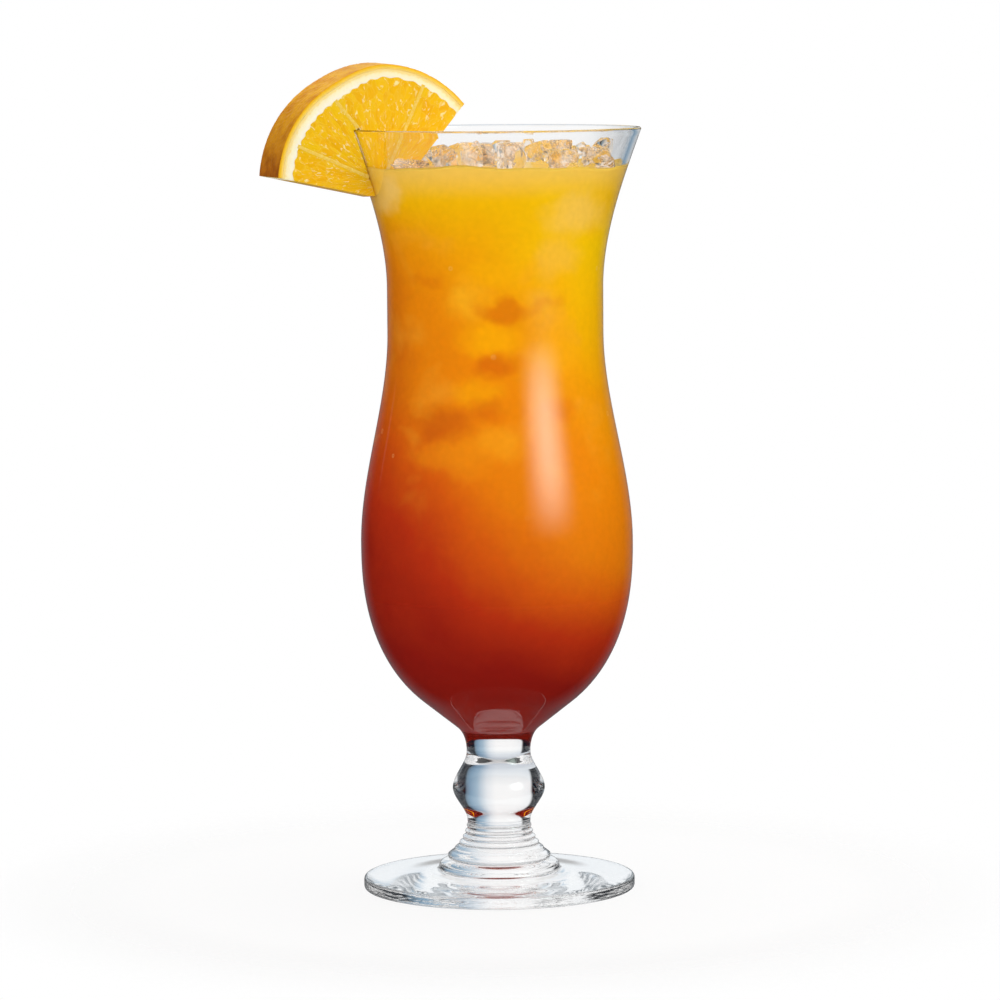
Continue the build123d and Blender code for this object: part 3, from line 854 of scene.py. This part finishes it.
# Segment skins and core, cut across: thin, pale and a little see-through, with a fibrous grain.
strand_size = 0.6 * mm
membrane_material, add, place = new_material("orange_membrane")
strands = add("TexNoise", {"Vector": place, "Scale": 1 / strand_size, "Detail": 4.0})
straw = add("ValToRGB", {"Fac": strands}, stops=[(0.3, "#F5C032"), (0.7, "#FAD870")])
stranded = add("Bump", {"Strength": 0.4, "Distance": 0.2 * mm, "Height": strands})
membrane_body = add("BsdfPrincipled", {
    "Base Color": straw,
    "Roughness": 0.35,
    "IOR": 1.4,
    "Subsurface Weight": 0.3,
    "Subsurface Radius": (1.0, 0.7, 0.3),
    "Subsurface Scale": 1.5 * mm,
    "Specular IOR Level": 0.12,
    "Normal": stranded,
})
add("OutputMaterial", {"Surface": membrane_body})
membrane_overlap, membrane_proud, membrane_root = 0.2, 0.02, 0.4
rim_gap = 0.6


def bar(depth_steps, half_width, half_depth, rounding):
    """Outline of a rounded bar across its length: points aside and out, taken round clockwise."""
    corner = np.linspace(0, np.pi / 2, 5)
    side = np.linspace(1, -1, depth_steps)[1:-1] * (half_depth - rounding)
    quarter = np.stack([np.cos(corner), np.sin(corner)], axis=1)[::-1] * rounding
    quarter += [half_width - rounding, half_depth - rounding]
    half = np.concatenate([quarter, np.stack([0 * side + half_width, side], axis=1), quarter[::-1] * [1, -1]])
    return np.concatenate([half, half[::-1] * [-1, 1]])


def membrane(name, start, angle, begin_of):
    """Thin wall from where begin_of says, along an angle from start, to the pith."""
    way = (math.cos(math.radians(angle)), math.sin(math.radians(angle)))
    aside, out = bar(12, half_membrane + membrane_overlap, half_thick + membrane_proud, membrane_overlap).T
    begin = begin_of(out, way)
    end = to_rind(start, way, pulp_radius + membrane_root, out)
    along = begin + (end - begin) * np.linspace(0, 1, 60)[:, None]
    across = start[0] + along * way[0] - aside * way[1]
    up = start[1] + along * way[1] + aside * way[0]
    return skin(name, [in_slice(across, up, out + 0 * across)], membrane_material)


def from_slit(out, way):
    """Begins at the slit's outer side."""
    return outer_slit(out) / (way[0] + way[1] * slit_slope)


def from_rim(out, way):
    """Begins just over the rim."""
    return rim_gap + 0 * out


def from_core(out, way):
    """Begins just inside the core's edge."""
    return core_radius - membrane_overlap + 0 * out


membranes = [
    ("slice_membrane_1", (0, 0), membrane_angles[0], from_slit),
    ("slice_membrane_2", lip_point, membrane_angles[1], from_rim),
    ("slice_membrane_3", (0, 0), membrane_angles[2], from_core),
]
for cad_node, start, angle, begin_of in membranes:
    wall = membrane("wall_" + cad_node, start, angle, begin_of)
    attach(wall, "orange_slice")
    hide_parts(cad_node)
core = slab("heart_slice_core", (1.0, 0.0), core_edge, membrane_material, sac_swell, seed=5.0)
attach(core, "orange_slice")
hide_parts("slice_core")

# Orange slice: pith and zest
# The rind round the pulp: a spongy white layer, and outside it the thin coloured skin with its oil glands,
# which shows as a thin line on the cut face and as pitted skin round the outside.
rind_steps = 220
rind_rounding = 0.4
skin_begin = 0.8
pit_size, pit_depth, pit_reach = 1.1, 0.16, 0.3
pith_overlap, pith_recess, zest_overlap = 1.3, 0.12, 0.1


def cut_angle(radius, angle):
    """Bearing round the core at which a knife cut from the apex reaches a radius."""
    way = (math.cos(math.radians(angle)), math.sin(math.radians(angle)))
    reach = to_circle(apex, way, radius)
    return np.arctan2(apex[1] + reach * way[1], apex[0] + reach * way[0]) % (2 * np.pi)


def rind(name, inner, outer, material, recess, pits):
    """Bar that follows the round of the fruit from one knife cut to the other, between two radii. Its
    outside is pitted over oil glands. The attribute skin is 1 there and 0 on the cut faces, and the
    attribute outward runs from 0 at the inner radius to 1 at the outer."""
    thick = outer - inner
    aside, out = bar(34, thick / 2, half_thick - recess, min(rind_rounding, thick / 3)).T
    radius = (inner + outer) / 2 + aside
    low, high = [
        cut_angle(radius - drawn_in(cut_angle(radius, cut), out), cut)
        for cut in (right_cut, left_cut)
    ]
    angle = low + (high - low) * np.linspace(0, 1, rind_steps)[:, None]
    outside = np.clip((aside / thick * 2 - skin_begin) / (1 - skin_begin), 0, 1) + 0 * angle
    gap = nearest_spot(angle * outer / pit_size, out / pit_size + 0 * angle, 1.0)[0]
    radius = radius - drawn_in(angle, out) - pits * outside * np.exp(-((gap / pit_reach) ** 2))
    piece = skin(name, [in_slice(radius * np.cos(angle), radius * np.sin(angle), out + 0 * angle)], material)
    keep_values(piece, "skin", outside, [0, 0])
    keep_values(piece, "outward", aside / thick + 0.5 + 0 * angle, [0, 0])
    return piece


# Orange pith: a dry white sponge, creamy next to the pulp and yellow next to the zest.
sponge_size, sponge_share = 0.9 * mm, 0.3
pith_material, add, place = new_material("orange_pith")
sponge = add("TexNoise", {"Vector": place, "Scale": 1 / sponge_size, "Detail": 4.0})
spread = add("Math", {
    0: sponge,
    1: sponge_share,
    2: add("Attribute", attribute_name="outward").outputs["Fac"],
}, operation="MULTIPLY_ADD")
cream = add("ValToRGB", {"Fac": spread}, stops=[
    (0.35, "#FFF0BC"),
    (0.55, "#FFF9E4"),
    (0.90, "#FFF2C4"),
    (1.00, "#FCE296"),
])
spongy = add("Bump", {"Strength": 0.5, "Distance": 0.25 * mm, "Height": sponge})
pith_body = add("BsdfPrincipled", {
    "Base Color": cream,
    "Roughness": 0.6,
    "IOR": 1.4,
    "Subsurface Weight": 0.2,
    "Subsurface Radius": (1.0, 0.8, 0.5),
    "Subsurface Scale": 1.0 * mm,
    "Specular IOR Level": 0.15,
    "Normal": spongy,
})
add("OutputMaterial", {"Surface": pith_body})
pith_inside, pith_outside = pulp_radius - pith_overlap, pith_radius + zest_overlap
pith = rind("rind_slice_pith", pith_inside, pith_outside, pith_material, recess=pith_recess, pits=0.0)
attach(pith, "orange_slice")
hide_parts("slice_pith")

# Orange zest: waxy skin over oil glands, a soft sheen, mottled orange with painted shade that turns it
# browner low down, and yellow where the knife has cut it.
mottle_size = 4 * mm
shade_begin, shade_full = 218 * mm, 196 * mm
zest_material, add, place = new_material("orange_zest")
mottle = add("TexNoise", {"Vector": place, "Scale": 1 / mottle_size, "Detail": 4.0})
glands = add("TexVoronoi", {"Vector": place, "Scale": 1 / (pit_size * mm)})
# Painted shade: lower down the slice the peel is mixed towards a dark brown copy of its own mottle
painted_shade_low = add("MapRange", {
    "Value": add("SeparateXYZ", {"Vector": place}).outputs["Z"],
    "From Min": shade_begin,
    "From Max": shade_full,
    "To Max": 0.85,
})
peel_tone = add("ValToRGB", {"Fac": mottle}, stops=[(0.35, "#E29410"), (0.62, "#F4B41E")])
shaded_peel = add("ValToRGB", {"Fac": mottle}, stops=[(0.35, "#7E3608"), (0.62, "#A8540A")])
peel = add("Mix", {"Factor": painted_shade_low, "A": peel_tone, "B": shaded_peel}, data_type="RGBA")
outward = add("Attribute", attribute_name="outward").outputs["Fac"]
cut_face = add("ValToRGB", {"Fac": outward}, stops=[
    (0.00, "#FBE08A"),
    (0.40, "#F6CE4A"),
    (0.72, "#F0BA1E"),
    (1.00, "#EAA814"),
])
all_round = add("Mix", {
    "Factor": add("Attribute", attribute_name="skin").outputs["Fac"],
    "A": cut_face,
    "B": peel,
}, data_type="RGBA")
pitted = add("Bump", {"Strength": 0.35, "Distance": 0.2 * mm, "Height": glands})
zest_body = add("BsdfPrincipled", {
    "Base Color": all_round,
    "Roughness": 0.38,
    "IOR": 1.45,
    "Specular IOR Level": 0.15,
    "Normal": pitted,
})
add("OutputMaterial", {"Surface": zest_body})
zest = rind("rind_slice_zest", pith_radius, zest_radius, zest_material, recess=0.0, pits=pit_depth)
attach(zest, "orange_slice")
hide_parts("slice_zest")

# Floor, lamps, backdrop and camera
# A white floor, a softbox at the right, soft fills all round and a soft top light. The backdrop is white
# straight behind the glass and has dark cards at its sides, which draw the glass with dark edges. The
# floor's sizes are in mm, and the lamps' sizes and the places of lamps and camera in metres.

# White matt paint that glows a little, so it is white to the camera and still keeps the shadow. It fades
# out into the backdrop, for rays through glass close round the foot, and rays mirrored once see it dark.
floor_radius, floor_fade = 160.0, 90.0
clear_begin, clear_end = 37.5, 44.0
floor_depth, floor_gap = 2.0, 0.02
own_light, mirror_loss = 0.82, 0.95
floor_material, add, place = new_material("white_floor")
from_middle = add("VectorMath", {0: place}, operation="LENGTH")
far_fade = add("MapRange", {
    "Value": from_middle,
    "From Min": floor_fade * mm,
    "From Max": floor_radius * mm,
}, interpolation_type="SMOOTHSTEP")
near_fade = add("MapRange", {
    "Value": from_middle,
    "From Min": clear_begin * mm,
    "From Max": clear_end * mm,
}, interpolation_type="SMOOTHSTEP")
path = add("LightPath")
fade = add("Mix", {"Factor": path.outputs["Is Transmission Ray"], "A": far_fade, "B": near_fade})
seen = path.outputs["Is Camera Ray"]
for ray in ("Is Transmission Ray", "Is Glossy Ray"):
    seen = add("Math", {0: seen, 1: path.outputs[ray]}, operation="MAXIMUM")
lift = add("Math", {0: seen, 1: own_light}, operation="MULTIPLY")
once = add("Math", {0: path.outputs["Glossy Depth"], 1: 1.0, 2: 0.5}, operation="COMPARE")
kept_light = add("Math", {0: once, 1: -mirror_loss, 2: 1.0}, operation="MULTIPLY_ADD")
paint_colour = add("Mix", {"Factor": once, "A": "#F2F2F2", "B": "#101010"}, data_type="RGBA")
paint = add("BsdfDiffuse", {"Color": paint_colour})
floor_glow = add("Emission", {"Color": "#FFFFFF", "Strength": kept_light})
painted = add("MixShader", {0: lift, 1: paint, 2: floor_glow})
open_edge = add("BsdfTransparent")
whole = add("MixShader", {0: fade, 1: painted, 2: open_edge})
add("OutputMaterial", {"Surface": whole})
floor_rings = np.array([1.0, 40.0, 80.0, 120.0, floor_radius])[:, None]
floor_under = turned(floor_rings, np.array(-floor_depth))
floor_top = turned(floor_rings, np.array(-floor_gap))[::-1]
floor = skin("floor", [np.concatenate([floor_under, floor_top])], floor_material)
floor.visible_glossy = False
floor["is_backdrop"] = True


def lamp(name, place, aim, width, height, strength, colour):
    """A soft flat lamp of a size, facing a point; strength is how bright its face is."""
    light = bpy.data.lights.new(name, "AREA")
    light.shape = "RECTANGLE"
    light.size, light.size_y = width, height
    light.energy = strength * width * height * math.pi
    light.color = linear(colour)[:3]
    holder = bpy.data.objects.new(name, light)
    scene.collection.objects.link(holder)
    turn = (Vector(place) - Vector(aim)).to_track_quat("Z", "Y").to_matrix().to_4x4()
    holder.matrix_world = Matrix.Translation(place) @ turn
    light.cycles.use_multiple_importance_sampling = False
    holder.visible_camera = False
    holder.visible_glossy = False
    holder.visible_transmission = False


belly_middle = (0, 0, 0.11)
lamp("right_softbox", (0.62, -0.50, 0.25), belly_middle, 0.45, 0.45, 3.0, "#FFF6EE")
lamp("front_fill", (-0.10, -1.0, 0.40), belly_middle, 0.6, 0.6, 2.3, "#FFFFFF")
lamp("left_fill", (-0.75, -0.30, 0.12), belly_middle, 0.5, 0.5, 2.3, "#FFFFFF")
lamp("right_fill", (0.85, 0.05, 0.15), belly_middle, 0.5, 0.5, 1.4, "#FFFFFF")
lamp("back_fill", (-0.20, 0.95, 0.45), belly_middle, 0.6, 0.6, 2.7, "#FFFFFF")
lamp("top_light", (0.10, 0.10, 0.80), (0, 0, 0.2), 0.5, 0.5, 2.4, "#FFFFFF")

# The softbox's face, as the glass mirrors it: bright in the middle and falling off to its sides and foot
softbox_reach, softbox_bearing, softbox_half = 0.8, math.radians(49), 0.50
softbox_foot, softbox_full, softbox_top = 0.06, 0.40, 0.60
softbox_shine = 7.6
across_way = (math.cos(softbox_bearing), math.sin(softbox_bearing), 0)
face_material, add, place = new_material("softbox_face")
from_centre = add("VectorMath", {0: place, 1: across_way}, operation="DOT_PRODUCT")
side_fall = add("MapRange", {
    "Value": add("Math", {0: from_centre}, operation="ABSOLUTE"),
    "From Min": 0.0,
    "From Max": softbox_half,
    "To Min": 1.0,
    "To Max": 0.0,
}, interpolation_type="SMOOTHSTEP")
foot_fall = add("MapRange", {
    "Value": add("SeparateXYZ", {"Vector": place}).outputs["Z"],
    "From Min": softbox_foot,
    "From Max": softbox_full,
}, interpolation_type="SMOOTHSTEP")
soft_side = add("Math", {0: side_fall, 1: 2.0}, operation="POWER")
fall = add("Math", {0: soft_side, 1: foot_fall}, operation="MULTIPLY")
shine = add("Math", {0: fall, 1: softbox_shine}, operation="MULTIPLY")
face_glow = add("Emission", {"Color": "#E9FFF6", "Strength": shine})
add("OutputMaterial", {"Surface": face_glow})
middle = np.array([math.sin(softbox_bearing), -math.cos(softbox_bearing), 0]) * softbox_reach
aside = np.array(across_way) * softbox_half
corners = np.array([middle - aside, middle + aside, middle + aside, middle - aside])
corners[:, 2] = [softbox_foot, softbox_foot, softbox_top, softbox_top]
face_mesh = bpy.data.meshes.new("softbox_face")
face_mesh.from_pydata(corners.tolist(), [], [(0, 1, 2, 3)])
face_mesh.materials.append(face_material)
softbox_face = bpy.data.objects.new("softbox_face", face_mesh)
scene.collection.objects.link(softbox_face)
softbox_face.visible_camera = False
softbox_face.visible_diffuse = False
softbox_face.visible_transmission = False
softbox_face.visible_shadow = False
softbox_face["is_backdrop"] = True

# The room round the glass. Stops count turns from behind the camera, so 0.25 is the left, 0.5 straight
# behind the glass and 0.75 the right. Stops for heights run from straight down to straight up.
left_card_foot, right_card_drop = -0.335, 0.3
table_end, wall_begin = 0.02, 0.12
world = bpy.data.worlds.new("studio")
scene.world = world
world.use_nodes = True
world.node_tree.nodes.clear()
add = partial(node, world.node_tree)
way = add("TexCoord").outputs["Generated"]
split = add("SeparateXYZ", {"Vector": way})
bearing = add("Math", {0: split.outputs["X"], 1: split.outputs["Y"]}, operation="ARCTAN2")
round_share = add("MapRange", {"Value": bearing, "From Min": -math.pi, "From Max": math.pi})
backdrop = add("ValToRGB", {"Fac": round_share}, stops=[
    (0.00, "#FFFFFF"),
    (0.27, "#FFFFFF"),
    (0.285, "#9FB2C4"),
    (0.305, "#18202C"),
    (0.396, "#10161E"),
    (0.408, "#F6F8FA"),
    (0.45, "#FFFFFF"),
    (0.508, "#FFFFFF"),
    (0.528, "#EDF1F5"),
    (0.556, "#A6BED0"),
    (0.580, "#84A2BA"),
    (0.596, "#6E8698"),
    (0.604, "#141C26"),
    (0.715, "#18202C"),
    (0.74, "#9FB2C4"),
    (0.77, "#FFFFFF"),
    (1.00, "#FFFFFF"),
])
upright = add("MapRange", {"Value": split.outputs["Z"], "From Min": -1.0, "From Max": 1.0})
right_hand = add("Math", {0: split.outputs["X"], 1: 0.0}, operation="GREATER_THAN")
card_foot = add("Math", {0: right_hand, 1: -right_card_drop, 2: left_card_foot}, operation="MULTIPLY_ADD")
under_card = add("Math", {0: split.outputs["Z"], 1: card_foot}, operation="LESS_THAN")
over_card = add("ValToRGB", {"Fac": upright}, stops=[(0.79, "#000000"), (0.88, "#FFFFFF")])
open_share = add("Math", {0: under_card, 1: over_card}, operation="MAXIMUM")
sweep_tone = add("ValToRGB", {"Fac": upright}, stops=[
    (0.22, "#D0D6DE"),
    (0.354, "#E4E9EE"),
    (0.43, "#F4F6F7"),
    (0.474, "#FFFFFF"),
])
cards = add("Mix", {"Factor": open_share, "A": backdrop, "B": "#FFFFFF"}, data_type="RGBA")
through = add("Mix", {"Factor": 1.0, "A": cards, "B": sweep_tone}, data_type="RGBA", blend_type="MULTIPLY")
mirror = add("ValToRGB", {"Fac": round_share}, stops=[
    (0.00, "#1C1E20"),
    (0.345, "#1C1E20"),
    (0.352, "#8A8A88"),
    (0.359, "#1C1E20"),
    (0.40, "#1C1E20"),
    (0.43, "#DCE6EE"),
    (0.57, "#DCE6EE"),
    (0.60, "#1C1E20"),
])
above = add("MapRange", {
    "Value": split.outputs["Z"],
    "From Min": table_end,
    "From Max": wall_begin,
}, interpolation_type="SMOOTHSTEP")
table = add("ValToRGB", {"Fac": round_share}, stops=[
    (0.38, "#1C1E20"),
    (0.44, "#66696C"),
    (0.56, "#66696C"),
    (0.62, "#1C1E20"),
])
mirrored = add("Mix", {"Factor": above, "A": table, "B": mirror}, data_type="RGBA")
path = add("LightPath")
room = "#BCBCBC"
for ray, shown in (
    ("Is Glossy Ray", mirrored),
    ("Is Transmission Ray", through),
    ("Is Camera Ray", "#FFFFFF"),
):
    room = add("Mix", {"Factor": path.outputs[ray], "A": room, "B": shown}, data_type="RGBA")
sky = add("Background", {"Color": room, "Strength": 1.0})
add("OutputWorld", {"Surface": sky})

lens_length, sensor_width = 176.45, 36.0
camera_place = (0.0009, -1.318, 0.237)
camera_tilt, camera_roll = 90 - 5.693, -0.424
camera = bpy.data.cameras.new("camera")
camera.lens, camera.sensor_width = lens_length, sensor_width
holder = bpy.data.objects.new("camera", camera)
scene.collection.objects.link(holder)
holder.matrix_world = (
    Matrix.Translation(camera_place)
    @ Matrix.Rotation(math.radians(camera_tilt), 4, "X")
    @ Matrix.Rotation(math.radians(camera_roll), 4, "Z")
)
scene.camera = holder
scene.view_settings.view_transform = "Standard"
# Light runs round inside the thick foot many times before it leaves
scene.cycles.max_bounces = 24
scene.cycles.glossy_bounces = 16
scene.cycles.transmission_bounces = 16

low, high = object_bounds()
